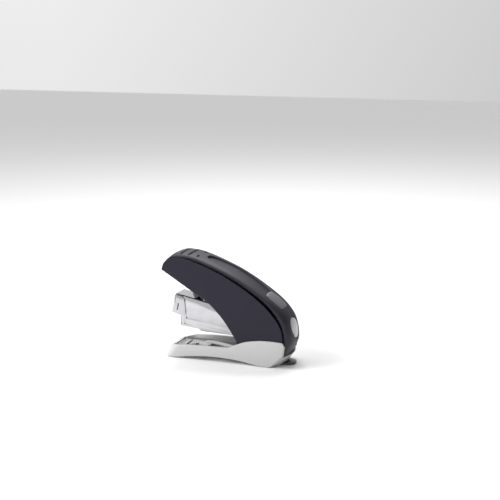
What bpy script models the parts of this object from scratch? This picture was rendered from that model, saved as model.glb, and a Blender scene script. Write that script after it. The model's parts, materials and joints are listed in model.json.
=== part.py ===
"""Compact desk stapler: tub base, rear-pivoted magazine and driver arm, tall pressing handle.

+Z is up, the nose points to -X and the rear to +X. Lengths below are in millimetres.
"""

import math

import bmesh
import bpy
from mathutils import Matrix, Vector

MM = 0.001

# Driving dimensions
BASE_HALF_WIDTH = 19.0
CHEEK_WALL = 1.7
HANDLE_HALF_WIDTH = 17.0
PANEL_WALL = 1.6
COVER_HALF_WIDTH = 15.1
COVER_WALL = 2.0
CROWN_NOSE, CROWN_TOP, CROWN_REAR, CROWN_FOOT = 0.6, 2.6, 5.4, 2.2

MAGAZINE_PIVOT = (37.5, 14.5)
HANDLE_PIVOT = (28.5, 12.5)
PIN_RADIUS = 1.5
PIN_HOLE_RADIUS = 1.6
HEAD_TILT = math.radians(11.2)
TRAY_TILT = math.radians(3.0)
TRAY_START = (-42.0, 25.2)
LATCH_PIVOT = (26.0, 26.0)

# Half-widths, from the staple outwards
STAPLE_CROWN = 6.45
TRAY_INNER, TRAY_OUTER = 6.55, 7.05
MAGAZINE_INNER, MAGAZINE_OUTER = 7.15, 7.65
HEAD_INNER, HEAD_OUTER = 7.8, 8.4
CAP_INNER, CAP_OUTER = 8.5, 9.1
BRACKET_INNER, BRACKET_OUTER = 9.6, 10.8
FRAME_INNER, FRAME_OUTER = 11.6, 12.8

PLATE_TOP, PLATE_BOTTOM = 8.6, 7.7
ANVIL_TOP = 9.3
ROLLER_CENTRE = (-30.5, 52.07)
ROLLER_RADIUS = 2.5
BUTTON_HEIGHT = 31.0


# Outlines and curves

def through(points, steps=4):
    """A smooth curve through the points, as a Catmull-Rom spline."""
    found = []
    ends = [points[0]] + list(points) + [points[-1]]
    for a, b, c, d in zip(ends, ends[1:], ends[2:], ends[3:]):
        for k in range(steps):
            t = k / steps
            found.append(tuple(
                0.5 * (2 * q + (r - p) * t + (2 * p - 5 * q + 4 * r - s) * t ** 2
                       + (3 * q - p - 3 * r + s) * t ** 3)
                for p, q, r, s in zip(a, b, c, d)
            ))
    return found + [tuple(points[-1])]


def arc(centre, radius, start, end, steps=8):
    """Points on a circle, from one angle in degrees to another."""
    turns = [math.radians(start + (end - start) * k / steps) for k in range(steps + 1)]
    return [(centre[0] + radius * math.cos(a), centre[1] + radius * math.sin(a)) for a in turns]


def tilted(u, w):
    """A point u forward of the magazine pivot along the driver arm and w above it."""
    return (
        MAGAZINE_PIVOT[0] - u * math.cos(HEAD_TILT) + w * math.sin(HEAD_TILT),
        MAGAZINE_PIVOT[1] + u * math.sin(HEAD_TILT) + w * math.cos(HEAD_TILT),
    )


def along_tray(u, w):
    """A point u behind the tray's front corner along its floor and w above it."""
    return (
        TRAY_START[0] + u * math.cos(TRAY_TILT) + w * math.sin(TRAY_TILT),
        TRAY_START[1] - u * math.sin(TRAY_TILT) + w * math.cos(TRAY_TILT),
    )


def mid_plane(point, y=0.0):
    """A side-view point as a 3-D one."""
    return (point[0], y, point[1])


def strip(points, thickness):
    """The outline of a sheet that follows the points, thickness below them."""
    return list(points) + [(x, z - thickness) for x, z in reversed(points)]


PANEL_EDGE = through([
    (-56.9, 74.0), (-55.2, 79.2), (-51.8, 82.4), (-46.0, 84.4), (-37.5, 84.4), (-29.0, 82.7),
    (-12.0, 76.9), (5.8, 68.8), (23.5, 58.2), (37.0, 47.2), (46.3, 35.6), (49.4, 24.0),
    (48.5, 9.4),
])
COVER_EDGE = through([
    (-56.1, 75.4), (-54.6, 80.0), (-51.4, 83.3), (-46.2, 85.5), (-37.3, 85.6), (-28.1, 84.0),
    (-12.8, 78.9), (5.1, 71.4), (22.8, 61.4), (37.2, 50.8), (46.5, 39.2), (50.2, 28.0),
    (50.6, 18.0), (49.6, 9.6),
])
PANEL_LOWER_EDGE = through([
    (10.8, 16.4), (4.2, 27.2), (-4.5, 38.7), (-16.0, 49.6), (-26.6, 55.8),
], 3)


# Materials

def finish(name, colour, roughness, metallic=0.0):
    made = bpy.data.materials.new(name)
    made.use_nodes = True
    shader = made.node_tree.nodes["Principled BSDF"]
    shader.inputs["Base Color"].default_value = (*colour, 1.0)
    shader.inputs["Roughness"].default_value = roughness
    shader.inputs["Metallic"].default_value = metallic
    return made


# Solids

def place(name, bm, look, pivot=None):
    """Makes the millimetre bmesh an object in metres, with its origin on the pivot empty."""
    bmesh.ops.remove_doubles(bm, verts=bm.verts, dist=1e-5)
    bmesh.ops.recalc_face_normals(bm, faces=bm.faces)
    bmesh.ops.scale(bm, vec=(MM, MM, MM), verts=bm.verts)
    mesh = bpy.data.meshes.new(name)
    bm.to_mesh(mesh)
    bm.free()
    mesh.shade_smooth()
    mesh.set_sharp_from_angle(angle=math.radians(30))
    return attach(bpy.data.objects.new(name, mesh), look, pivot)


def attach(obj, look, pivot=None):
    bpy.context.scene.collection.objects.link(obj)
    if look is not None:
        obj.data.materials.append(look)
    if pivot is not None:
        obj.data.transform(Matrix.Translation(-pivot.location))
        obj.parent = pivot
    return obj


def axis_empty(name, x, z):
    made = bpy.data.objects.new(name, None)
    made.location = (x * MM, 0, z * MM)
    bpy.context.scene.collection.objects.link(made)
    return made


def grown(bm, ring, shift):
    """Extrudes the closed ring of points into a prism along shift."""
    face = bm.faces.new([bm.verts.new(point) for point in ring])
    out = bmesh.ops.extrude_face_region(bm, geom=[face])["geom"]
    moved = [item for item in out if isinstance(item, bmesh.types.BMVert)]
    bmesh.ops.translate(bm, vec=shift, verts=moved)
    return bm


def side_prism(outline, low, high):
    """The XZ outline, extruded along Y from low to high."""
    return grown(bmesh.new(), [(x, low, z) for x, z in outline], (0, high - low, 0))


def plan_prism(outline, low, high):
    """The XY outline, extruded along Z from low to high."""
    return grown(bmesh.new(), [(x, y, low) for x, y in outline], (0, 0, high - low))


def end_prism(outline, low, high):
    """The YZ outline, extruded along X from low to high."""
    return grown(bmesh.new(), [(low, y, z) for y, z in outline], (high - low, 0, 0))


def block(x0, x1, y0, y1, z0, z1):
    return plan_prism([(x0, y0), (x1, y0), (x1, y1), (x0, y1)], z0, z1)


def rod(start, end, radius, segments=20):
    """A round bar between two points."""
    start, end = Vector(start), Vector(end)
    bm = bmesh.new()
    turn = (end - start).to_track_quat("Z", "Y").to_matrix().to_4x4()
    bmesh.ops.create_cone(
        bm, cap_ends=True, segments=segments, radius1=radius, radius2=radius,
        depth=(end - start).length, matrix=Matrix.Translation((start + end) / 2) @ turn,
    )
    return bm


def cross_rod(x, z, radius, low, high):
    return rod((x, low, z), (x, high, z), radius)


def loft(rings):
    """A solid through equal rings of points, grown one ring at a time."""
    bm = bmesh.new()
    first = cap = bm.faces.new([bm.verts.new(point) for point in rings[0]])
    for before, after in zip(rings, rings[1:]):
        index = {tuple(round(c, 3) for c in point): k for k, point in enumerate(before)}
        out = bmesh.ops.extrude_face_region(bm, geom=[cap])["geom"]
        for vert in [item for item in out if isinstance(item, bmesh.types.BMVert)]:
            vert.co = after[index[tuple(round(c, 3) for c in vert.co)]]
        if cap is not first:
            bm.faces.remove(cap)
        cap = [item for item in out if isinstance(item, bmesh.types.BMFace)][0]
    twisted = [face for face in bm.faces if len(face.verts) == 4]
    bmesh.ops.triangulate(bm, faces=twisted)
    return bm


def alter(obj, operation, bm):
    """Cuts the bmesh from the object, or joins it, with a hidden helper."""
    helper = place(f"{obj.name}_{operation.lower()}_{len(obj.modifiers)}", bm, None)
    helper.hide_render = True
    helper.display_type = "WIRE"
    made = obj.modifiers.new(helper.name, "BOOLEAN")
    made.operation = operation
    made.object = helper
    made.solver = "EXACT"
    return obj


def cut(obj, bm):
    return alter(obj, "DIFFERENCE", bm)


def join(obj, bm):
    return alter(obj, "UNION", bm)


def coil(name, start, end, radius, wire, turns, look, pivot=None, legs=()):
    """A wire helix about the line from start to end; legs are lengths that leave it straight."""
    start, end = Vector(start), Vector(end)
    turn = (end - start).to_track_quat("Z", "Y").to_matrix()
    count = int(turns * 10)
    points = []
    for k in range(count + 1):
        angle = 2 * math.pi * turns * k / count
        ring = Vector((radius * math.cos(angle), radius * math.sin(angle), 0))
        points.append(start + (end - start) * (k / count) + turn @ ring)
    if legs:
        first = points[0] + (points[0] - points[1]).normalized() * legs[0]
        last = points[-1] + (points[-1] - points[-2]).normalized() * legs[1]
        points = [first] + points + [last]
    curve = bpy.data.curves.new(name, "CURVE")
    curve.dimensions = "3D"
    curve.bevel_depth = wire / 2 * MM
    curve.bevel_resolution = 1
    curve.use_fill_caps = True
    spline = curve.splines.new("POLY")
    spline.points.add(len(points) - 1)
    for slot, point in zip(spline.points, points):
        slot.co = (*(point * MM), 1.0)
    return attach(bpy.data.objects.new(name, curve), look, pivot)


def channel(name, outline, inner, outer, look, pivot):
    """Two side plates with the XZ outline, to which a web is joined."""
    obj = place(name, side_prism(outline, -outer, -inner), look, pivot)
    return join(obj, side_prism(outline, inner, outer))


# Base

def base_profile():
    """The base seen from the side: arched underside, low tray rim, tall rear cheeks."""
    arch = through([(-45, 0.5), (-30, 2.7), (-10, 4.2), (12, 3.3), (30, 0.5)])
    rear = [(56, 0.5), (56, 16.0)] + arc((48.5, 19.0), 2.6, 0, 80, 5)
    cheek_top = through([
        (42, 21.9), (31, 21.6), (18, 19.4), (9.4, 15.9), (3, 13.0), (-4, 12.6), (-22, 12.3),
    ])
    nose = [(-38, 11.5), (-46, 9.9), (-50.8, 9.2), (-53.0, 8.0), (-57.0, 7.0), (-57.0, 0.5)]
    return arch + rear + cheek_top + nose


def base_plan(front, corner, side_end, rear):
    """The base seen from above: round front corners, and a rear edge bowed between its corners."""
    half = BASE_HALF_WIDTH
    bowed = [(side_end + (rear - side_end) * (1 - (k / 6) ** 2), half * k / 6)
             for k in range(-6, 7)]
    return (
        arc((front + corner, corner - half), corner, 180, 270)
        + bowed
        + arc((front + corner, half - corner), corner, 90, 180)
    )


def rounded_plan(front, rear, half_width, front_radius, rear_radius):
    return (
        arc((front + front_radius, front_radius - half_width), front_radius, 180, 270)
        + arc((rear - rear_radius, rear_radius - half_width), rear_radius, 270, 360, 6)
        + arc((rear - rear_radius, half_width - rear_radius), rear_radius, 0, 90, 6)
        + arc((front + front_radius, half_width - front_radius), front_radius, 90, 180)
    )


def base(looks):
    shell = place(
        "base_shell",
        side_prism(base_profile(), -BASE_HALF_WIDTH - 1, BASE_HALF_WIDTH + 1),
        looks["shell"],
    )
    outer = [
        (-1.0, base_plan(-55.6, 6.0, 37.6, 46.1)), (10.5, base_plan(-51.6, 12.0, 49.9, 54.4)),
        (19.0, base_plan(-50.8, 12.0, 51.2, 55.2)), (30.0, base_plan(-50.6, 12.0, 51.3, 55.3)),
    ]
    alter(shell, "INTERSECT", loft([[(x, y, z) for x, y in ring] for z, ring in outer]))
    cheek = BASE_HALF_WIDTH - CHEEK_WALL
    cut(shell, plan_prism(rounded_plan(-48.9, 6.0, 16.2, 10.5, 0.5), 6.0, 30))
    cut(shell, block(3.0, 43.2, -cheek, cheek, 5.0, 31))
    cut(shell, block(42.8, 45.3, -12.0, 12.0, 5.1, 31.1))
    cut(shell, block(42.9, 46.2, 0.1 - cheek, cheek - 0.1, 7.6, 31.2))
    cut(shell, block(40.0, 60.0, 0.05 - cheek, cheek - 0.05, 9.1, 32))
    cut(shell, plan_prism(rounded_plan(-48.5, -45.6, 12.0, 1.4, 0.5), 2.7, 20))
    for side in (-1, 1):
        cut(shell, block(-21.8, -4.2, *sorted((side * 12.6, side * 15.9)), -3, 20))
    relief = [(-60, 7.3), (-44, 9.5), (-44, 14), (-60, 14)]
    cut(shell, side_prism(relief, -8.3, 8.3))
    cut(shell, block(-50.3, -44.4, -11.3, 11.3, -1.2, 1.3))
    for side in (-1, 1):
        cut(shell, block(30.2, 38.8, *sorted((side * 10.4, side * 16.2)), -1.2, 1.3))
    cut(shell, block(19.5, 60.0, -8.3, 8.3, -1.3, 2.4))
    join(shell, block(-46.8, -38.8, -7.2, 7.2, 5.2, 7.3))
    for x in (-33.0, 4.0):
        join(shell, rod((x, 0, 5.0), (x, 0, 7.4), 2.6))
        cut(shell, rod((x, 0, 5.6), (x, 0, 8.0), 1.3))
    for x in (20.5, 41.5):
        cut(shell, rod((x, 0, 3.0), (x, 0, 5.5), 1.6))
    cut(shell, rod((31.0, 0, 1.5), (31.0, 0, 4.3), 1.6))

    half = [
        (-47.2, 7.0), (-46.4, 9.5), (-43.6, 12.2), (-38, 15.2), (-25, 15.6), (-23, 12.2), (-3, 12.2),
        (-1, 14.6), (10, 14.6), (12, 12),
    ]
    outline = half + [(x, -y) for x, y in reversed(half)]
    plate = place("base_plate", plan_prism(outline, PLATE_BOTTOM, PLATE_TOP), looks["steel"])
    cut(plate, block(-46.4, -39.1, -8.3, 8.3, 5, 12))
    cut(plate, block(-20.0, -10.0, -6.0, 6.0, 4, 13))
    for x in (-33.0, 4.0):
        cut(plate, rod((x, 0, 5), (x, 0, 12), 1.3))

    anvil = place("anvil", block(-46.1, -39.4, -8, 8, 7.6, ANVIL_TOP), looks["hard_steel"])
    for side in (-1, 1):
        pocket = block(-44.6, -42.9, *sorted((side * 0.8, side * 6.8)), ANVIL_TOP - 0.5, 12)
        cut(anvil, pocket)
    front = place("plate_rivet_front", rod((-33, 0, 8.75), (-33, 0, 9.25), 2.3), looks["steel"])
    join(front, rod((-33, 0, 6.0), (-33, 0, 9.0), 1.0))
    rear = place("plate_rivet_rear", rod((4, 0, 9.35), (4, 0, 9.9), 2.3), looks["steel"])
    join(rear, rod((4, 0, 6.0), (4, 0, 9.6), 1.0))

    leaf = through([(-24, 11.4), (-16, 11.1), (-6, 10.0), (0, 9.3), (8, 9.3)])
    spring = place("lift_spring", side_prism(strip(leaf, 0.4), -4.5, 4.5), looks["steel"])
    cut(spring, rod((4, 0, 7), (4, 0, 12), 1.3))


def pivots(looks):
    outline = [
        (15, 5.3), (44.8, 5.3), (44.8, 9), (42.5, 17.5), (38, 19.5), (33, 19), (24, 17.5), (17, 10),
    ]
    bracket = channel(
        "pivot_bracket", outline, BRACKET_INNER, BRACKET_OUTER, looks["steel"], None
    )
    join(bracket, block(15, 44.8, -10.2, 10.2, 5.3, 6.5))
    for x, z in (MAGAZINE_PIVOT, HANDLE_PIVOT):
        cut(bracket, cross_rod(x, z, PIN_HOLE_RADIUS, -15, 15))
    for name, x in (("bracket_screw_front", 20.5), ("bracket_screw_rear", 41.5)):
        cut(bracket, rod((x, 0, 4), (x, 0, 8), 1.6))
        screw = place(name, rod((x, 0, 6.8), (x, 0, 8.0), 2.6), looks["steel"])
        join(screw, rod((x, 0, 3.3), (x, 0, 7.0), 1.3))
        cut(screw, block(x - 2, x + 2, -0.35, 0.35, 7.4, 9))

    x, z = MAGAZINE_PIVOT
    place("magazine_pin", cross_rod(x, z, PIN_RADIUS, -11.2, 11.2), looks["hard_steel"])
    x, z = HANDLE_PIVOT
    pin = place("handle_pin", cross_rod(x, z, PIN_RADIUS, -13.2, 13.2), looks["hard_steel"])
    for side in (-1, 1):
        join(pin, cross_rod(x, z, 2.3, *sorted((side * 13.1, side * 13.9))))
    coil(
        "handle_spring", (x, -8.4, z), (x, 8.4, z), 2.5, 0.7, 9, looks["spring"],
        legs=(5.0, 5.0),
    )


def underside(looks):
    place("front_foot", block(-50.0, -44.7, -11, 11, 0, 1.0), looks["rubber"])
    for name, side in (("rear_foot_right", -1), ("rear_foot_left", 1)):
        pad = block(30.5, 38.5, *sorted((side * 10.7, side * 15.9)), 0, 1.0)
        place(name, pad, looks["rubber"])
    tip = arc((48.6, 0), 7.4, -90, 90, 12)
    tongue = plan_prism([(22, 7.4), (22, -7.4)] + tip, 1.0, 1.8)
    remover = place("staple_remover", tongue, looks["dark_steel"])
    cut(remover, rod((31, 0, 0), (31, 0, 3), 1.7))
    screw = place("remover_screw", rod((31, 0, 0.2), (31, 0, 0.8), 3.0), looks["steel"])
    join(screw, rod((31, 0, 0.5), (31, 0, 4.0), 1.3))


# Magazine

def on_rod(start, end):
    """Two points on the pusher rod's axis, at these distances behind the tray's front corner."""
    return mid_plane(along_tray(start, 4.2)), mid_plane(along_tray(end, 4.2))


def magazine(looks, pivot):
    px, pz = MAGAZINE_PIVOT
    outline = (
        [(-43.2, 25.1), (-42, 24.8), (-27.4, 23.5), (-25.6, 21.8), (2.7, 21.0), (19.4, 20.4)]
        + [(30.0, 18.0)] + arc((px, pz), 4.2, 170, 350, 12)
        + [(39.5, 19.5), (36, 21.9), (28.4, 28.0), (23.8, 28.3), (5, 35.2), (-38, 39.0), (-41.6, 37.4), (-43.2, 33.2)]
    )
    frame = channel(
        "magazine_frame", outline, MAGAZINE_INNER, MAGAZINE_OUTER, looks["steel"], pivot
    )
    inner = MAGAZINE_INNER + 0.2
    floor = [(-25.4, 21.85), (2.7, 21.1), (19.4, 20.5), (26, 19.2)]
    join(frame, side_prism(strip([(x, z + 0.6) for x, z in floor], 0.6), -inner, inner))
    wall = [along_tray(60.8, 1.2), along_tray(61.6, 1.2), along_tray(61.6, 9), along_tray(60.8, 9)]
    join(frame, side_prism(wall, -inner, inner))
    join(frame, side_prism([(4.5, 34.0), (10.5, 31.4), (10.5, 32.2), (4.5, 34.8)], -inner, inner))
    cut(frame, cross_rod(px, pz, PIN_HOLE_RADIUS, -12, 12))
    for x, z, radius in ((-38.4, 32.5, 0.75), (-39.9, 27.6, 0.9)):
        cut(frame, cross_rod(x, z, radius, -12, 12))
    cut(frame, rod(*on_rod(58, 64), 1.1))
    cut(frame, cross_rod(*LATCH_PIVOT, 0.9, -12, 12))

    place("spring_rod", rod(*on_rod(3.5, 62.5), 1.0, 12), looks["hard_steel"], pivot)
    coil("pusher_spring", *on_rod(10.0, 60.2), 2.0, 0.5, 17, looks["spring"], pivot)
    pin = cross_rod(*LATCH_PIVOT, 0.8, -7.7, 7.7)
    place("latch_pin", pin, looks["hard_steel"], pivot)


def tray(looks):
    """Staple tray with its front wall: it slides out forwards, along its own floor."""
    floor = [along_tray(*p) for p in ((-0.2, 0.1), (59.8, 0.1), (59.8, 0.6), (-0.2, 0.6))]
    body = place("loading_tray", side_prism(floor, -6.8, 6.8), looks["steel"])
    side = [along_tray(-2.0, 0), along_tray(60, 0), along_tray(60, 7.6), along_tray(-2.0, 7.6)]
    join(body, side_prism(side, -TRAY_OUTER, -TRAY_INNER))
    join(body, side_prism(side, TRAY_INNER, TRAY_OUTER))
    front = [along_tray(-2.2, 0.2), along_tray(-1.6, 0.2), along_tray(-1.6, 8), along_tray(-2.2, 8)]
    join(body, side_prism(front, -MAGAZINE_OUTER, MAGAZINE_OUTER))
    catch = [along_tray(*p) for p in ((56.6, 0.65), (65.2, 0.65), (65.2, 1.05), (56.6, 1.05))]
    catch = place("tray_catch", side_prism(catch, -3.2, 3.2), looks["hard_steel"])
    cut(catch, block(along_tray(61.6, 0)[0], 40, -1.9, 1.9, 15, 30))


def pusher(looks):
    faces = [along_tray(*p) for p in ((1.0, 1.25), (9.4, 1.25), (9.4, 7.0), (1.0, 7.0))]
    body = place("pusher", side_prism(faces, -6.3, 6.3), looks["insert"])
    cut(body, rod(*on_rod(-2.0, 12.0), 1.15, 16))


def latch(looks, pivot):
    """A hook, balanced on its pin behind the rear wall, whose toe drops between the catch's prongs."""
    outline = arc(LATCH_PIVOT, 2.2, -60, -20, 3)
    outline += [(29.9, 24.6), (31.5, 25.4), (31.5, 27.0), (30.1, 27.9)]
    outline += arc(LATCH_PIVOT, 2.2, 60, 120, 4) + [
        (22.2, 26.6), (21.0, 24.6), (21.0, 22.0), (22.4, 22.0), (23.0, 24.0),
    ]
    hook = place("tray_latch", side_prism(outline, -1.2, 1.2), looks["insert"], pivot)
    cut(hook, cross_rod(*LATCH_PIVOT, 0.9, -5, 5))


# Driver arm

def topped(rear, front, half_width, low, high):
    """A plate along the driver arm, with its two long upper edges folded over at 45 degrees."""
    fold = high - low - 0.1
    section = [(half_width, low), (half_width, low + 0.1), (half_width - fold, high)]
    section += [(-y, w) for y, w in reversed(section)]
    return loft([
        [(x, y, z) for y, w in section for x, z in [tilted(u, w)]] for u in (rear, front)
    ])


def head(looks, pivot):
    px, pz = MAGAZINE_PIVOT
    outline = (
        [tilted(*p) for p in ((84, 20.25), (84, 8), (79, 6), (73.6, 3.5), (10, 3.5))]
        + arc((px, pz), 4.4, 175, 350, 10)
        + [tilted(*p) for p in ((-3, 5), (4, 8), (29.2, 20.25))]
    )
    arm = channel("head_channel", outline, HEAD_INNER, HEAD_OUTER, looks["steel"], pivot)
    join(arm, topped(29, 90.6, HEAD_OUTER - 0.05, 20.2, 21.0))
    join(arm, topped(84.2, 90.8, CAP_OUTER, 20.3, 20.9))
    cut(arm, cross_rod(px, pz, PIN_HOLE_RADIUS, -12, 12))

    wing = [tilted(*p) for p in (
        (91.4, 4.4), (91.4, 19.8), (85, 19.8), (82.5, 18.4), (78.9, 5.6), (79.8, 4.6), (83.9, 3.7),
    )]
    cap = place("front_cap", side_prism(wing, -CAP_OUTER, -CAP_INNER), looks["steel"], pivot)
    join(cap, side_prism(wing, CAP_INNER, CAP_OUTER))
    face = [tilted(*p) for p in ((91.3, 11.4), (91.3, 19.7), (90.7, 19.7), (90.7, 11.4))]
    join(cap, side_prism(face, -CAP_OUTER, CAP_OUTER))
    slot = [tilted(*p) for p in ((86.4, 7.2), (87.4, 7.2), (87.4, 13.3), (86.4, 13.3))]
    cut(cap, side_prism(slot, -12, 12))

    blade = [tilted(*p) for p in ((81.5, 4.25), (81.5, 19.9), (81.0, 19.9), (81.0, 4.25))]
    place("driver_blade", side_prism(blade, -STAPLE_CROWN, STAPLE_CROWN), looks["hard_steel"], pivot)
    holder = [tilted(*p) for p in ((90.5, 12.0), (90.5, 19.8), (81.8, 19.8), (81.8, 12.0))]
    holder = place("driver_holder", side_prism(holder, -6.2, 6.2), looks["insert"], pivot)
    tongue = [tilted(*p) for p in ((87.15, 12.3), (87.15, 12.8), (86.65, 12.8), (86.65, 12.3))]
    join(holder, side_prism(tongue, -8.8, 8.8))
    tongue = [tilted(*p) for p in ((87.25, 7.4), (87.25, 13.1), (86.55, 13.1), (86.55, 7.4))]
    for side in (-1, 1):
        join(holder, side_prism(tongue, *sorted((side * 8.4, side * 8.95))))
    leaf = through([(8.6, 35.2), (2, 35.8), (-8, 38.6), (-17, 43.7), (-22, 44.6)])
    place("head_spring", side_prism(strip(leaf, 0.4), -3, 3), looks["spring"], pivot)


# Handle

def smooth(value):
    """Eases from 0 to 1 over that range."""
    value = min(max(value, 0.0), 1.0)
    return value * value * (3 - 2 * value)


def crown_at(x, z):
    """How far the cover's middle stands over its edges: low at nose and foot, full at the rear."""
    if x < 0:
        return CROWN_NOSE + (CROWN_TOP - CROWN_NOSE) * smooth((x + 56) / 13)
    rear = CROWN_TOP + (CROWN_REAR - CROWN_TOP) * smooth((60 - z) / 25)
    return rear - (CROWN_REAR - CROWN_FOOT) * smooth((22 - z) / 12)


def edge_frames():
    """Along the cover's edge: point, outward normal and crown height."""
    found = []
    count = len(COVER_EDGE) - 1
    for k, (x, z) in enumerate(COVER_EDGE):
        ahead = COVER_EDGE[min(k + 1, count)]
        behind = COVER_EDGE[max(k - 1, 0)]
        normal = Vector((behind[1] - ahead[1], 0, ahead[0] - behind[0])).normalized()
        found.append((Vector((x, 0, z)), normal, crown_at(x, z)))
    return found


def crowned_sheet(frames, half_width, lift, wall, across=12):
    """A sheet across the handle, crowned between its edges; lift is its height over the edge."""
    rings = []
    for point, normal, crown in frames:
        outer, inner = [], []
        for k in range(across + 1):
            y = half_width * (2 * k / across - 1)
            rise = crown * math.sqrt(max(1 - (abs(y) / COVER_HALF_WIDTH) ** 3, 0.0))
            spot = point + normal * (rise + lift)
            outer.append(Vector((spot.x, y, spot.z)))
            inner.append(Vector((spot.x, y, spot.z)) - normal * wall)
        rings.append(outer + inner[::-1])
    return loft(rings)


def shield(grow=0.0):
    """The release button's YZ outline: broad rounded top, pointed foot."""
    right = through([
        (0.0, 8.2), (4.4, 7.3), (7.6, 3.4), (7.2, -1.4), (4.4, -6.2), (0.8, -8.7), (0.0, -8.8),
    ], 3)
    points = right + [(-y, z) for y, z in reversed(right[1:-1])]
    scale = 1 + grow / 7.6
    return [(y * scale, BUTTON_HEIGHT + z * scale) for y, z in points]


def handle(looks, pivot):
    hidden_edge = [(47.6, 9.6), (45.2, 9.6), (43.5, 8.2), (28, 8.2), (20, 10.2), (14, 13)]
    outline = PANEL_EDGE + hidden_edge + PANEL_LOWER_EDGE
    inner = HANDLE_HALF_WIDTH - PANEL_WALL
    for name, side in (("side_panel_right", -1), ("side_panel_left", 1)):
        low, high = sorted((side * inner, side * HANDLE_HALF_WIDTH))
        place(name, side_prism(outline, low, high), looks["gloss"], pivot)

    frames = edge_frames()
    cover = crowned_sheet(frames, COVER_HALF_WIDTH, 0.0, COVER_WALL)
    cover = place("top_cover", cover, looks["matte"], pivot)
    cut(cover, end_prism(shield(0.35), 44, 62))
    label = [frame for frame in frames if 29.0 < frame[0].x < 43.0 and frame[0].z > 40]
    plate = crowned_sheet(label, 6.5, 0.7, 0.55, 6)
    place("badge", plate, looks["badge"], pivot)

    top = through([(-40, 77), (-12, 72.1), (8, 64.8), (24, 56.0), (36, 45)])
    lower = [(-8, 50), (-22, 60), (-40, 70.5)]
    boss = [(38, 38), (36, 25)] + arc(HANDLE_PIVOT, 4.5, 20, -200, 14)
    plates = top + boss + [(15, 24), (4, 38)] + lower
    frame = channel("handle_frame", plates, FRAME_INNER, FRAME_OUTER, looks["steel"], pivot)
    join(frame, side_prism(strip(top[:-2], 1.2), -FRAME_INNER - 0.4, FRAME_INNER + 0.4))
    cut(frame, cross_rod(*HANDLE_PIVOT, PIN_HOLE_RADIUS, -16, 16))

    x, z = ROLLER_CENTRE
    arms = [(x - 5.5, 74.0), (x - 2.2, z)] + arc((x, z), 2.2, 180, 360, 8) + [(x + 5.5, 72.3)]
    press = channel("press_bracket", arms, 5.6, 6.6, looks["steel"], pivot)
    join(press, side_prism(
        [(x - 5.5, 73.9), (x - 5.3, 72.6), (x + 5.3, 70.9), (x + 5.5, 72.2)], -6.1, 6.1))
    cut(press, cross_rod(x, z, 1.1, -9, 9))
    place("roller_axle", cross_rod(x, z, 1.0, -7.2, 7.2), looks["hard_steel"], pivot)

    seat = place(
        "button_bracket", block(37.0, 38.5, -11.3, 11.3, 26, 36), looks["insert"], pivot
    )
    join(seat, rod((38, 0, BUTTON_HEIGHT), (41.5, 0, BUTTON_HEIGHT), 1.2, 12))
    coil(
        "button_spring", (39.0, 0, BUTTON_HEIGHT), (46.0, 0, BUTTON_HEIGHT), 2.0, 0.4, 5,
        looks["spring"], pivot,
    )


def roller(looks, pivot):
    x, z = ROLLER_CENTRE
    wheel = place("press_roller", cross_rod(x, z, ROLLER_RADIUS, -5.2, 5.2), looks["insert"], pivot)
    cut(wheel, cross_rod(x, z, 1.08, -9, 9))


def button(looks):
    """The grey shield on the rear: its face leans with the cover and stands proud at the foot."""
    bm = end_prism(shield(), 46.6, 56.0)
    for vert in bm.verts:
        if vert.co.x > 50:
            above = vert.co.z - (BUTTON_HEIGHT - 8.8)
            vert.co.x = 56.9 - 0.05 * above - 0.0118 * above ** 2
    place("release_button", bm, looks["button"])


def main():
    for obj in list(bpy.data.objects):
        bpy.data.objects.remove(obj)
    looks = {
        "shell": finish("shell_light_grey_abs", (0.66, 0.66, 0.66), 0.35),
        "gloss": finish("panel_dark_navy_abs", (0.036, 0.034, 0.05), 0.22),
        "matte": finish("cover_charcoal_abs", (0.07, 0.07, 0.085), 0.5),
        "steel": finish("plated_steel", (0.75, 0.75, 0.76), 0.2, 1.0),
        "hard_steel": finish("hardened_steel", (0.5, 0.5, 0.52), 0.3, 1.0),
        "dark_steel": finish("remover_dark_steel", (0.18, 0.18, 0.19), 0.35, 1.0),
        "spring": finish("spring_wire", (0.45, 0.45, 0.46), 0.3, 1.0),
        "insert": finish("dark_acetal", (0.03, 0.03, 0.03), 0.45),
        "rubber": finish("foot_rubber", (0.02, 0.02, 0.02), 0.8),
        "button": finish("button_light_grey_abs", (0.55, 0.53, 0.53), 0.35),
        "badge": finish("badge_grey_foil", (0.4, 0.4, 0.42), 0.35),
    }
    magazine_axis = axis_empty("magazine_axis", *MAGAZINE_PIVOT)
    handle_axis = axis_empty("handle_axis", *HANDLE_PIVOT)
    latch_axis = axis_empty("latch_axis", *LATCH_PIVOT)
    roller_axis = axis_empty("roller_axis", *ROLLER_CENTRE)
    base(looks)
    pivots(looks)
    underside(looks)
    magazine(looks, magazine_axis)
    tray(looks)
    pusher(looks)
    latch(looks, latch_axis)
    head(looks, magazine_axis)
    handle(looks, handle_axis)
    roller(looks, roller_axis)
    button(looks)


main()
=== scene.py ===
"""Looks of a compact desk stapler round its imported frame: moulded shells, plated steel, springs."""

import json
import math

import bmesh
import bpy
from mathutils import Matrix, Vector


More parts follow.
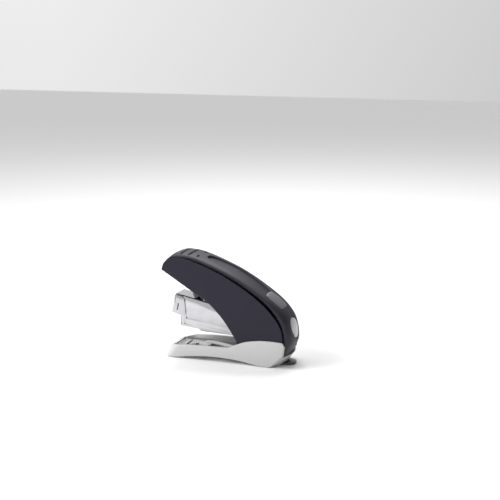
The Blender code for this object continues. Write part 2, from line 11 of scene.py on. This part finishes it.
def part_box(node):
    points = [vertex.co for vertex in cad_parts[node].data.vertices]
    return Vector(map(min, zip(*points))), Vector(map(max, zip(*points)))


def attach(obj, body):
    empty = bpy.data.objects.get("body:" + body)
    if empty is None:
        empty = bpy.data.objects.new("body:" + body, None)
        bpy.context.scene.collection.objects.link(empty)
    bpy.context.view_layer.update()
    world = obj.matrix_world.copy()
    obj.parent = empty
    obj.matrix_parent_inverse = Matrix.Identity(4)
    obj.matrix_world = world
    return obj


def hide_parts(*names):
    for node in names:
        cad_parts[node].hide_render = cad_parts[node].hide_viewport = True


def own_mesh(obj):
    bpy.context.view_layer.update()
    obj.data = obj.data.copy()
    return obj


bl_info = {
    "name": "Compact Desk Stapler",
    "version": (1, 0, 0),
    "blender": (4, 5, 0),
    "location": "3D View > Sidebar > Stapler",
    "description": "Builds the shells, steel parts and studio of a compact desk stapler",
    "category": "Object",
}

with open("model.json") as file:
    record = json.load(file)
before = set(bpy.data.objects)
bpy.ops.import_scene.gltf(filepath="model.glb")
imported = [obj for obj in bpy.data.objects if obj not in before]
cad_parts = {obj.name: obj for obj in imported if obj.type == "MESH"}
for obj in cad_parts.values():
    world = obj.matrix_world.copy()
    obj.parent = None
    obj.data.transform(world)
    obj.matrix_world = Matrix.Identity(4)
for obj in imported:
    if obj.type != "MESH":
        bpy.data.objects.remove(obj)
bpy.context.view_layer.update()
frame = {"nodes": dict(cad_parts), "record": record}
MM = 0.001

COVER_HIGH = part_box("top_cover")[1]
BUTTON_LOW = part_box("release_button")[0]


def linear(code):
    """An sRGB hex value as linear red, green and blue."""
    parts = [int(code[k:k + 2], 16) / 255 for k in (0, 2, 4)]
    return tuple(c / 12.92 if c <= 0.04045 else ((c + 0.055) / 1.055) ** 2.4 for c in parts)


# Sizes and colours that a user would change

def colour(label, code, text):
    return bpy.props.FloatVectorProperty(
        name=label, description=text, subtype="COLOR", size=3, min=0, max=1, default=linear(code),
    )


def length(label, millimetres, text):
    return bpy.props.FloatProperty(
        name=label, description=text, unit="LENGTH", subtype="DISTANCE", min=0, precision=5,
        default=millimetres * MM,
    )


class StaplerSizes(bpy.types.PropertyGroup):
    panel_round: length("Panel edge", 0.9, "Rounding round the outer face of a side panel")
    panel_foot: length("Panel foot edge", 2.2, "Rounding along a side panel's lower edge")
    shell_round: length("Base edge", 1.1, "Rounding along the edges of the base")
    steel_round: length("Steel edge", 0.14, "Rounding left on pressed steel by tumbling")
    recess_depth: length("Recess depth", 1.7, "Depth of the leaf-shaped recess in the top cover")
    recess_width: length("Recess width", 8.2, "Half-width of the leaf-shaped recess")
    groove_depth: length("Groove depth", 1.1, "Depth of the grip grooves over the nose")
    crown_top: length("Crown", 2.6, "How far the cover stands over its edges on top")
    crown_rear: length("Rear crown", 5.4, "How far the cover stands over its edges at the rear")


class StaplerColours(bpy.types.PropertyGroup):
    shell: colour("Base", "c6c6c6", "Moulded light grey ABS of the base")
    panel: colour("Side panels", "181527", "Polished navy-black ABS of the side panels")
    cover: colour("Top cover", "2f2d37", "Textured charcoal ABS of the top cover")
    nickel: colour("Plated steel", "bfbfc2", "Bright nickel plating")
    hard: colour("Hardened steel", "a8a8ab", "Ground, unplated spring and tool steel")
    black_steel: colour("Black steel", "5c5c60", "Oil-blackened steel of the staple remover")
    acetal: colour("Inserts", "17171a", "Black acetal of the sliding parts")
    rubber: colour("Feet", "1c1c1e", "Black rubber of the feet")
    button: colour("Button", "cbc8c8", "Light grey ABS of the release button")
    badge: colour("Badge", "77777d", "Satin grey foil of the plain badge")


# Materials

def add(tree, kind, inputs=None, **settings):
    """Adds a node with its settings, and its inputs as values or links."""
    made = tree.nodes.new(kind)
    for key, value in settings.items():
        setattr(made, key, value)
    for key, value in (inputs or {}).items():
        if isinstance(value, bpy.types.NodeSocket):
            tree.links.new(value, made.inputs[key])
        else:
            made.inputs[key].default_value = value
    return made


def started(name, **shader_values):
    """An empty material with its Principled shader and Object coordinates."""
    look = bpy.data.materials.new(name)
    look.use_nodes = True
    tree = look.node_tree
    shader = tree.nodes["Principled BSDF"]
    for key, value in shader_values.items():
        shader.inputs[key.replace("_", " ")].default_value = value
    return look, tree, shader, add(tree, "ShaderNodeTexCoord").outputs["Object"]


def moulded(name, tint, roughness, grain, depth, mottle=0.05, **values):
    """Moulded plastic or rubber. Grain and depth are the mould texture's size, in millimetres."""
    look, tree, shader, spot = started(name, **values)
    fine = add(tree, "ShaderNodeTexNoise", {
        "Vector": spot, "Scale": 1 / (grain * MM), "Detail": 3.0, "Roughness": 0.6,
    })
    broad = add(tree, "ShaderNodeTexNoise", {"Vector": spot, "Scale": 70.0, "Detail": 2.0})
    shade = add(tree, "ShaderNodeValToRGB", {"Fac": broad.outputs["Fac"]})
    for stop, side in zip(shade.color_ramp.elements, (1 - mottle, 1 + mottle)):
        stop.color = (*[min(c * side, 1.0) for c in tint], 1.0)
    gloss = add(tree, "ShaderNodeMapRange", {
        "Value": fine.outputs["Fac"], "To Min": roughness * 0.85, "To Max": roughness * 1.15,
    })
    bump = add(tree, "ShaderNodeBump", {
        "Height": fine.outputs["Fac"], "Distance": depth * MM, "Strength": 1.0,
    })
    tree.links.new(shade.outputs["Color"], shader.inputs["Base Color"])
    tree.links.new(gloss.outputs["Result"], shader.inputs["Roughness"])
    tree.links.new(bump.outputs["Normal"], shader.inputs["Normal"])
    return look


def metal(name, tint, roughness, streak, depth):
    """Rolled or ground steel: streaks along X, streak millimetres apart, under any plating."""
    look, tree, shader, spot = started(name, Metallic=1.0)
    run = add(tree, "ShaderNodeMapping", {"Vector": spot, "Scale": (0.06, 1.0, 1.0)})
    lines = add(tree, "ShaderNodeTexNoise", {
        "Vector": run.outputs["Vector"], "Scale": 1 / (streak * MM), "Detail": 4.0,
    })
    stain = add(tree, "ShaderNodeTexNoise", {"Vector": spot, "Scale": 140.0, "Detail": 3.0})
    tone = add(tree, "ShaderNodeValToRGB", {"Fac": stain.outputs["Fac"]})
    tone.color_ramp.elements[0].position = 0.3
    tone.color_ramp.elements[0].color = (*[c * 0.9 for c in tint], 1.0)
    tone.color_ramp.elements[1].position = 0.7
    tone.color_ramp.elements[1].color = (*tint, 1.0)
    gloss = add(tree, "ShaderNodeMapRange", {
        "Value": lines.outputs["Fac"], "To Min": roughness * 0.7, "To Max": roughness * 1.3,
    })
    bump = add(tree, "ShaderNodeBump", {
        "Height": lines.outputs["Fac"], "Distance": depth * MM, "Strength": 1.0,
    })
    tree.links.new(tone.outputs["Color"], shader.inputs["Base Color"])
    tree.links.new(gloss.outputs["Result"], shader.inputs["Roughness"])
    tree.links.new(bump.outputs["Normal"], shader.inputs["Normal"])
    return look


def find(name):
    """The finish of that name, made when it is first asked for."""
    return bpy.data.materials.get(name) or FINISHES[name](bpy.context.scene.stapler_colours)


FINISHES = {
    # Injection-moulded ABS from a fine-ground mould: soft satin highlights on pale grey.
    "satin_grey_abs": lambda c: moulded(
        "satin_grey_abs", c.shell, 0.34, 0.5, 0.004, 0.02, Specular_IOR_Level=0.5),
    # ABS from a polished mould: deep colour under a clear, sharp gloss.
    "polished_navy_abs": lambda c: moulded(
        "polished_navy_abs", c.panel, 0.24, 0.9, 0.002, 0.06, Specular_IOR_Level=0.3),
    # ABS from a spark-eroded mould: even, dull, slightly sparkling charcoal.
    "textured_charcoal_abs": lambda c: moulded(
        "textured_charcoal_abs", c.cover, 0.5, 0.35, 0.02, 0.06, Specular_IOR_Level=0.35),
    # Cold-rolled sheet with bright nickel plating: white, sharp reflections, faint rolling lines.
    "bright_nickel": lambda c: metal("bright_nickel", c.nickel, 0.16, 0.25, 0.0006),
    # Ground tool steel: greyer and duller than plating.
    "ground_tool_steel": lambda c: metal("ground_tool_steel", c.hard, 0.3, 0.2, 0.002),
    # Oil-blackened sheet: dark with a greasy sheen.
    "oil_black_steel": lambda c: metal("oil_black_steel", c.black_steel, 0.34, 0.3, 0.002),
    # Turned acetal: waxy black.
    "black_acetal": lambda c: moulded("black_acetal", c.acetal, 0.42, 0.4, 0.004),
    # Pressed rubber: dead black, dusty.
    "foot_rubber": lambda c: moulded("foot_rubber", c.rubber, 0.8, 0.3, 0.02, 0.2),
    # The same ABS as the base in a warmer grey, from a polished mould.
    "gloss_grey_abs": lambda c: moulded(
        "gloss_grey_abs", c.button, 0.25, 0.6, 0.003, 0.02, Coat_Weight=0.2),
    # Metallised foil under matt lacquer: flat satin grey.
    "satin_badge_foil": lambda c: moulded(
        "satin_badge_foil", c.badge, 0.38, 0.2, 0.003, 0.04, Metallic=0.35),
}


# Making pieces

def through(points, steps=8):
    """A smooth curve through the points, as a Catmull-Rom spline."""
    found = []
    ends = [points[0]] + list(points) + [points[-1]]
    for a, b, c, d in zip(ends, ends[1:], ends[2:], ends[3:]):
        for k in range(steps):
            t = k / steps
            found.append(tuple(
                0.5 * (2 * q + (r - p) * t + (2 * p - 5 * q + 4 * r - s) * t ** 2
                       + (3 * q - p - 3 * r + s) * t ** 3)
                for p, q, r, s in zip(a, b, c, d)
            ))
    return found + [tuple(points[-1])]


def finish_piece(name, bm, look, body, replaced=(), angle=32):
    """Makes the bmesh a shown piece that rides on a body and stands for its CAD nodes."""
    mesh = bpy.data.meshes.new(name)
    bm.to_mesh(mesh)
    bm.free()
    mesh.shade_smooth()
    mesh.set_sharp_from_angle(angle=math.radians(angle))
    mesh.materials.append(find(look))
    piece = bpy.data.objects.new(name, mesh)
    bpy.context.scene.collection.objects.link(piece)
    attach(piece, body)
    if replaced:
        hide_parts(*replaced)
    return piece


def softened(node, width, segments=2, sharp=28):
    """A copy of a CAD node with whole flats and its hard edges rounded."""
    bm = bmesh.new()
    bm.from_mesh(frame["nodes"][node].data)
    bmesh.ops.remove_doubles(bm, verts=bm.verts, dist=0.002 * MM)
    bmesh.ops.dissolve_limit(
        bm, angle_limit=math.radians(0.5), verts=bm.verts, edges=bm.edges,
    )
    hard = [
        edge for edge in bm.edges
        if len(edge.link_faces) == 2 and edge.calc_face_angle() > math.radians(sharp)
    ]
    bmesh.ops.bevel(
        bm, geom=hard, offset=width, offset_type="OFFSET", segments=segments, profile=0.5,
        affect="EDGES", clamp_overlap=True, material=-1,
    )
    return bm


def body_of(node):
    return next(body for body, nodes in frame["record"]["behaviour"]["bodies"].items()
                if node in nodes)


def soften_node(node, look, width, segments=2, name=None):
    """Shows a CAD node as a rounded copy of itself."""
    bm = softened(node, width, segments)
    return finish_piece(name or f"{node}_finished", bm, look, body_of(node), [node])


def dress(node, look):
    """Gives a CAD node that is already the right shape its finish."""
    obj = frame["nodes"][node]
    obj.data.materials.clear()
    obj.data.materials.append(find(look))


PANEL_EDGE = [
    (-56.9, 74.0), (-55.2, 79.2), (-51.8, 82.4), (-46.0, 84.4), (-37.5, 84.4), (-29.0, 82.7),
    (-12.0, 76.9), (5.8, 68.8), (23.5, 58.2), (37.0, 47.2), (46.3, 35.6), (49.4, 24.0),
    (48.5, 9.4),
]
HIDDEN_EDGE = [(47.6, 9.6), (45.2, 9.6), (43.5, 8.2), (28, 8.2), (20, 10.2), (14, 13)]
LOWER_EDGE = [(10.8, 16.4), (4.2, 27.2), (-4.5, 38.7), (-16.0, 49.6), (-26.6, 55.8)]
COVER_EDGE = [
    (-56.1, 75.4), (-54.6, 80.0), (-51.4, 83.3), (-46.2, 85.5), (-37.3, 85.6), (-28.1, 84.0),
    (-12.8, 78.9), (5.1, 71.4), (22.8, 61.4), (37.2, 50.8), (46.5, 39.2), (50.2, 28.0),
    (50.6, 18.0), (49.6, 9.6),
]
GROOVES = ((-46.6, 0.0, 13.2), (-41.2, 0.0, 12.8), (-34.2, 0.0, 12.4), (-27.6, 6.0, 10.8))
LEAF = (-22.0, 34.0)
BUTTON_MID, BUTTON_FOOT, BUTTON_TALL = 31.0, 22.2, 16.9
COVER_WALL, BADGE_WALL = 1.6, 0.12
CROWN_NOSE, CROWN_FOOT = 0.6, 2.2
COVER_ROWS = 92
HEM_IN, HEM_DOWN = 0.9, 1.9
OVERHEAD_FLAG = (-0.08, -0.32, 0.944)


def build_panels(sizes):
    """Side panels: polished plates, softly rounded above and more widely rounded below."""
    lower = through(LOWER_EDGE)
    outline = through(PANEL_EDGE) + HIDDEN_EDGE + lower
    below = {(round(x, 3), round(z, 3)) for x, z in lower + [PANEL_EDGE[0]]}
    for name, node, side in (
        ("panel_right", "side_panel_right", -1), ("panel_left", "side_panel_left", 1),
    ):
        low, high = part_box(node)
        outer_y = low.y if side < 0 else high.y
        bm = bmesh.new()
        face = bm.faces.new([bm.verts.new((x * MM, outer_y, z * MM)) for x, z in outline])
        out = bmesh.ops.extrude_face_region(bm, geom=[face])["geom"]
        back = [item for item in out if isinstance(item, bmesh.types.BMVert)]
        bmesh.ops.translate(bm, vec=(0, -side * (high.y - low.y), 0), verts=back)
        bmesh.ops.recalc_face_normals(bm, faces=bm.faces)
        bevels = bm.edges.layers.float.new("bevel_weight_edge")
        for edge in bm.edges:
            if all(abs(v.co.y - outer_y) < 1e-6 for v in edge.verts):
                under = all(
                    (round(v.co.x / MM, 3), round(v.co.z / MM, 3)) in below for v in edge.verts
                )
                edge[bevels] = 1.0 if under else sizes.panel_round / sizes.panel_foot
        piece = finish_piece(name, bm, "polished_navy_abs", "handle", [node], 40)
        rounding = piece.modifiers.new("rounding", "BEVEL")
        rounding.limit_method = "WEIGHT"
        rounding.width = sizes.panel_foot
        rounding.segments = 6
        rounding.harden_normals = True


def step(value):
    value = min(max(value, 0.0), 1.0)
    return value * value * (3 - 2 * value)


def edge_stations(sizes, steps=24):
    """Along the cover's edge: point, outward normal and crown, in millimetres."""
    curve = [Vector((x, 0, z)) for x, z in through(COVER_EDGE, steps)]
    top, rear = sizes.crown_top / MM, sizes.crown_rear / MM
    found = []
    for k, spot in enumerate(curve):
        ahead, behind = curve[min(k + 1, len(curve) - 1)], curve[max(k - 1, 0)]
        along = (ahead - behind).normalized()
        if spot.x < 0:
            crown = CROWN_NOSE + (top - CROWN_NOSE) * step((spot.x + 56) / 13)
        else:
            crown = top + (rear - top) * step((60 - spot.z) / 25)
            crown -= (rear - CROWN_FOOT) * step((22 - spot.z) / 12)
        found.append((spot, Vector((-along.z, 0, along.x)), crown))
    return found


def cover_rise(sizes, spot, y, crown, carved=True):
    """Height of the cover's outer face over its edge line, in millimetres."""
    half = COVER_HIGH.y / MM
    rise = crown * math.sqrt(max(1 - (abs(y) / half) ** 3, 0.0))
    if not carved:
        return rise
    if LEAF[0] < spot.x < LEAF[1]:
        share = (spot.x - LEAF[0]) / (LEAF[1] - LEAF[0])
        wide = sizes.recess_width / MM * math.sin(math.pi * share ** 0.8) ** 0.4
        rise -= sizes.recess_depth / MM * step((wide - abs(y)) / 1.4 + 0.5)
    if spot.z > 78:
        for place, inner, outer in GROOVES:
            near = step((0.95 - abs(spot.x - place)) / 0.5)
            near *= step((outer - abs(y)) / 0.5) * (step((abs(y) - inner) / 0.5) if inner else 1)
            rise -= sizes.groove_depth / MM * near
    return rise


def build_cover(sizes):
    """Top cover: a crowned sheet from nose to foot with a rounded lip, recess and grip grooves."""
    stations = edge_stations(sizes)
    rows, half = COVER_ROWS, COVER_HIGH.y / MM
    bm = bmesh.new()
    bmesh.ops.create_grid(bm, x_segments=len(stations) - 1, y_segments=rows, size=1.0)
    for vert in bm.verts:
        spot, normal, crown = stations[round((vert.co.x + 1) / 2 * (len(stations) - 1))]
        row = round((vert.co.y + 1) / 2 * rows)
        if row in (0, rows):
            y = math.copysign(half - HEM_IN, vert.co.y)
            spot = spot - normal * HEM_DOWN
        else:
            y = half * math.sin(((row - 1) / (rows - 2) - 0.5) * math.pi)
            spot = spot + normal * cover_rise(sizes, spot, y, crown)
        vert.co = Vector((spot.x, y, spot.z)) * MM
    opening = [v for v in bm.verts if v.co.x > 44 * MM and in_shield(v.co, 0.35)]
    bmesh.ops.delete(bm, geom=opening, context="VERTS")
    bmesh.ops.recalc_face_normals(bm, faces=bm.faces)
    piece = finish_piece("cover_shell", bm, "textured_charcoal_abs", "handle", ["top_cover"], 50)
    wall = piece.modifiers.new("wall", "SOLIDIFY")
    wall.thickness = COVER_WALL * MM
    wall.offset = -1.0
    return piece


SHIELD = [(0.0, 8.2), (4.4, 7.3), (7.6, 3.4), (7.2, -1.4), (4.4, -6.2), (0.8, -8.7), (0.0, -8.8)]


def shield_half(z, grow=0.0):
    """Half-width of the button's outline at a height, in millimetres."""
    curve = [(y * (1 + grow / 7.6), BUTTON_MID + h * (1 + grow / 7.6)) for y, h in through(SHIELD)]
    for (y0, z0), (y1, z1) in zip(curve, curve[1:]):
        if z1 <= z <= z0:
            return y0 + (y1 - y0) * (z - z0) / min(z1 - z0, -1e-6)
    return -1.0


def in_shield(co, grow):
    return abs(co.y / MM) < shield_half(co.z / MM, grow)


def build_badge(sizes):
    """Plain badge: a thin rounded plate that lies on the cover's rear slope."""
    stations = [s for s in edge_stations(sizes) if 30.0 < s[0].x < 43.0 and s[0].z > 40]
    bm = bmesh.new()
    bmesh.ops.create_grid(bm, x_segments=20, y_segments=20, size=1.0)
    for vert in bm.verts:
        a, b = vert.co.x, vert.co.y
        p, q = a * math.sqrt(1 - 0.22 * b * b), b * math.sqrt(1 - 0.22 * a * a)
        k = (p + 1) / 2 * (len(stations) - 1)
        low = min(int(k), len(stations) - 2)
        spot = stations[low][0].lerp(stations[low + 1][0], k - low)
        normal, crown = stations[low][1], stations[low][2]
        y = 7.6 * q - 2.4
        dome = 0.4 * (1 - max(abs(a), abs(b)) ** 8)
        spot = spot + normal * (cover_rise(sizes, spot, y, crown, False) + 0.15 + dome)
        vert.co = Vector((spot.x, y, spot.z)) * MM
    bmesh.ops.recalc_face_normals(bm, faces=bm.faces)
    piece = finish_piece("plain_badge", bm, "satin_badge_foil", "handle", ["badge"], 60)
    wall = piece.modifiers.new("wall", "SOLIDIFY")
    wall.thickness = BADGE_WALL * MM
    wall.offset = -1.0
    return piece


def build_button(sizes):
    """Release button: a shield whose face follows the cover, proud at the foot, rounded at its rim."""
    bm = bmesh.new()
    bmesh.ops.create_grid(bm, x_segments=36, y_segments=40, size=1.0)
    for vert in bm.verts:
        a, b = vert.co.x, vert.co.y
        height = BUTTON_TALL * (b + 1) / 2
        z = BUTTON_FOOT + 0.05 + height
        half = max(shield_half(z), 0.0)
        near_rim = max(abs(a), abs(b)) ** 10
        x = 56.8 - 0.05 * height - 0.0118 * height ** 2 - 1.2 * near_rim - 0.6 * a * a
        vert.co = Vector((x, a * half, z)) * MM
    rim = [edge for edge in bm.edges if edge.is_boundary]
    out = bmesh.ops.extrude_edge_only(bm, edges=rim)["geom"]
    for vert in [item for item in out if isinstance(item, bmesh.types.BMVert)]:
        vert.co.x = BUTTON_LOW.x
    bmesh.ops.remove_doubles(bm, verts=bm.verts, dist=0.01 * MM)
    bmesh.ops.holes_fill(bm, edges=[edge for edge in bm.edges if edge.is_boundary], sides=0)
    bmesh.ops.recalc_face_normals(bm, faces=bm.faces)
    return finish_piece("button_shield", bm, "gloss_grey_abs", "button", ["release_button"], 40)


# Operators

class StaplerOperator:
    bl_options = {"REGISTER", "UNDO"}

    def execute(self, context):
        self.build(context.scene.stapler_sizes)
        return {"FINISHED"}


class STAPLER_OT_base(StaplerOperator, bpy.types.Operator):
    """Moulded base with its rounded rim and cheeks, and the feet under it"""
    bl_idname = "stapler.base"
    bl_label = "Base"

    def build(self, sizes):
        soften_node("base_shell", "satin_grey_abs", sizes.shell_round, 3)
        for node in ("front_foot", "rear_foot_right", "rear_foot_left"):
            soften_node(node, "foot_rubber", 0.2 * MM)


class STAPLER_OT_plate(StaplerOperator, bpy.types.Operator):
    """Base plate, anvil, rivets and lift spring in the tray of the base"""
    bl_idname = "stapler.plate"
    bl_label = "Base plate"

    def build(self, sizes):
        soften_node("base_plate", "bright_nickel", sizes.steel_round)
        soften_node("anvil", "ground_tool_steel", sizes.steel_round)
        soften_node("plate_rivet_front", "bright_nickel", 0.2 * MM)
        soften_node("plate_rivet_rear", "bright_nickel", 0.2 * MM)
        spring = soften_node("lift_spring", "bright_nickel", 0.1 * MM)
        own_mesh(spring)


class STAPLER_OT_pivots(StaplerOperator, bpy.types.Operator):
    """Pivot bracket with its screws and pins, the handle spring, and the staple remover"""
    bl_idname = "stapler.pivots"
    bl_label = "Pivots and remover"

    def build(self, sizes):
        soften_node("pivot_bracket", "bright_nickel", sizes.steel_round)
        for node in ("bracket_screw_front", "bracket_screw_rear", "remover_screw"):
            soften_node(node, "bright_nickel", 0.15 * MM)
        soften_node("magazine_pin", "ground_tool_steel", 0.3 * MM)
        soften_node("handle_pin", "ground_tool_steel", 0.2 * MM)
        soften_node("staple_remover", "oil_black_steel", 0.18 * MM, 3)
        dress("handle_spring", "ground_tool_steel")


class STAPLER_OT_magazine(StaplerOperator, bpy.types.Operator):
    """Magazine frame, staple tray, pusher with its rod and spring, and the latch"""
    bl_idname = "stapler.magazine"
    bl_label = "Magazine"

    def build(self, sizes):
        soften_node("magazine_frame", "bright_nickel", sizes.steel_round)
        soften_node("loading_tray", "bright_nickel", 0.1 * MM)
        soften_node("tray_catch", "ground_tool_steel", 0.1 * MM)
        soften_node("pusher", "black_acetal", 0.3 * MM)
        soften_node("spring_rod", "ground_tool_steel", 0.2 * MM)
        soften_node("latch_pin", "ground_tool_steel", 0.2 * MM)
        soften_node("tray_latch", "black_acetal", 0.2 * MM)
        spring = soften_node("pusher_spring", "ground_tool_steel", 0.05 * MM, 1)
        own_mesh(spring)


class STAPLER_OT_driver(StaplerOperator, bpy.types.Operator):
    """Driver arm: pressed channel, front cap, blade, holder and return leaf"""
    bl_idname = "stapler.driver"
    bl_label = "Driver arm"

    def build(self, sizes):
        soften_node("head_channel", "bright_nickel", sizes.steel_round, 3)
        soften_node("front_cap", "bright_nickel", sizes.steel_round, 3)
        soften_node("driver_blade", "ground_tool_steel", 0.1 * MM)
        soften_node("driver_holder", "black_acetal", 0.3 * MM)
        soften_node("head_spring", "ground_tool_steel", 0.1 * MM)


class STAPLER_OT_handle(StaplerOperator, bpy.types.Operator):
    """Handle shells: two polished side panels, the textured cover and its plain badge"""
    bl_idname = "stapler.handle"
    bl_label = "Handle shells"

    def build(self, sizes):
        build_panels(sizes)
        build_cover(sizes)
        build_badge(sizes)


class STAPLER_OT_lever(StaplerOperator, bpy.types.Operator):
    """Steel lever inside the handle, with the press bracket, roller and axle"""
    bl_idname = "stapler.lever"
    bl_label = "Handle lever"

    def build(self, sizes):
        # Painted shade: the lever frame is given the dark blackened steel so the groove between side
        # panel and cover shows dark, not the frame's bright reflection
        soften_node("handle_frame", "oil_black_steel", sizes.steel_round)
        soften_node("press_bracket", "oil_black_steel", sizes.steel_round)
        soften_node("roller_axle", "oil_black_steel", 0.2 * MM)
        soften_node("press_roller", "black_acetal", 0.4 * MM)
        soften_node("button_bracket", "black_acetal", 0.3 * MM)
        spring = soften_node("button_spring", "ground_tool_steel", 0.05 * MM, 1)
        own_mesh(spring)


class STAPLER_OT_button(StaplerOperator, bpy.types.Operator):
    """Release button: a domed shield on the rear"""
    bl_idname = "stapler.button"
    bl_label = "Release button"

    def build(self, sizes):
        build_button(sizes)


class STAPLER_OT_stage(StaplerOperator, bpy.types.Operator):
    """Pale floor, soft studio lights and the camera"""
    bl_idname = "stapler.stage"
    bl_label = "Stage"

    def build(self, sizes):
        floor_bm = bmesh.new()
        bmesh.ops.create_grid(floor_bm, x_segments=1, y_segments=1, size=3.0)
        mesh = bpy.data.meshes.new("studio_floor")
        floor_bm.to_mesh(mesh)
        floor_bm.free()
        floor = bpy.data.objects.new("studio_floor", mesh)
        bpy.context.scene.collection.objects.link(floor)
        paper = bpy.data.materials.new("white_paper_floor")
        paper.use_nodes = True
        shader = paper.node_tree.nodes["Principled BSDF"]
        shader.inputs["Base Color"].default_value = (0.93, 0.93, 0.93, 1.0)
        shader.inputs["Roughness"].default_value = 0.8
        mesh.materials.append(paper)

        world = bpy.data.worlds.new("studio_world")
        bpy.context.scene.world = world
        world.use_nodes = True
        sky = world.node_tree.nodes["Background"]
        sky.inputs["Color"].default_value = (1.0, 1.0, 1.0, 1.0)
        tree = world.node_tree
        way = add(tree, "ShaderNodeTexCoord").outputs["Generated"]
        split = add(tree, "ShaderNodeSeparateXYZ", {"Vector": way})
        lift = add(tree, "ShaderNodeMapRange", {
            "Value": split.outputs["Z"], "From Min": -0.1, "From Max": 0.8,
            "To Min": 0.7, "To Max": 1.0,
        })
        fall = add(tree, "ShaderNodeMapRange", {
            "Value": split.outputs["X"], "From Min": -0.5, "From Max": 0.8,
            "To Min": 1.15, "To Max": 0.1,
        })
        toward_flag = add(
            tree, "ShaderNodeVectorMath", {0: way, 1: OVERHEAD_FLAG}, operation="DOT_PRODUCT",
        )
        flag = add(tree, "ShaderNodeMapRange", {
            "Value": toward_flag.outputs["Value"], "From Min": 0.945, "From Max": 0.97,
            "To Min": 1.0, "To Max": 0.02,
        })
        room = add(tree, "ShaderNodeMath", {
            0: lift.outputs["Result"], 1: fall.outputs["Result"],
        }, operation="MULTIPLY")
        flagged = add(tree, "ShaderNodeMath", {
            0: room.outputs["Value"], 1: flag.outputs["Result"],
        }, operation="MULTIPLY")
        tree.links.new(flagged.outputs["Value"], sky.inputs["Strength"])
        for name, spot, size, power in (
            ("key_softbox", (-0.5, -0.25, 0.45), 0.4, 3.6),
            ("rear_softbox", (-0.1, 0.6, 1.0), 0.6, 7.0),
        ):
            lamp = bpy.data.lights.new(name, "AREA")
            lamp.energy = power
            lamp.size = size
            light = bpy.data.objects.new(name, lamp)
            light.location = spot
            aim = Vector((0, 0, 0.04)) - Vector(spot)
            light.rotation_euler = aim.to_track_quat("-Z", "Y").to_euler()
            bpy.context.scene.collection.objects.link(light)

        around, above, distance = math.radians(21.5), math.radians(14.5), 0.95
        yaw, pitch = math.radians(20.515), math.radians(11.59)
        target = Vector((-0.0015, 0, 0.042))
        camera = bpy.data.objects.new("camera", bpy.data.cameras.new("camera"))
        camera.data.lens = 82.1
        camera.data.sensor_width = 36.0
        away = Vector((
            math.sin(around) * math.cos(above), -math.cos(around) * math.cos(above), math.sin(above),
        ))
        camera.location = target + away * distance
        camera.rotation_euler = (math.pi / 2 - pitch, 0, yaw)
        bpy.context.scene.collection.objects.link(camera)
        bpy.context.scene.camera = camera
        bpy.context.scene.view_settings.view_transform = "Standard"


class STAPLER_PT_panel(bpy.types.Panel):
    """Lists the stapler's sizes, colours and pieces"""
    bl_idname = "STAPLER_PT_panel"
    bl_label = "Stapler"
    bl_space_type = "VIEW_3D"
    bl_region_type = "UI"
    bl_category = "Stapler"

    def draw(self, context):
        for group in (context.scene.stapler_sizes, context.scene.stapler_colours):
            for key in group.__annotations__:
                self.layout.prop(group, key)
        for operator in OPERATORS:
            self.layout.operator(operator.bl_idname)


OPERATORS = (
    STAPLER_OT_stage, STAPLER_OT_base, STAPLER_OT_plate, STAPLER_OT_pivots, STAPLER_OT_magazine,
    STAPLER_OT_driver, STAPLER_OT_handle, STAPLER_OT_lever, STAPLER_OT_button,
)
CLASSES = (StaplerSizes, StaplerColours, *OPERATORS, STAPLER_PT_panel)


def register():
    for cls in CLASSES:
        bpy.utils.register_class(cls)
    bpy.types.Scene.stapler_sizes = bpy.props.PointerProperty(type=StaplerSizes)
    bpy.types.Scene.stapler_colours = bpy.props.PointerProperty(type=StaplerColours)


def unregister():
    del bpy.types.Scene.stapler_colours
    del bpy.types.Scene.stapler_sizes
    for cls in reversed(CLASSES):
        bpy.utils.unregister_class(cls)


def main():
    register()
    for operator in OPERATORS:
        group, name = operator.bl_idname.split(".")
        getattr(getattr(bpy.ops, group), name)()


if __name__ == "__main__":
    main()
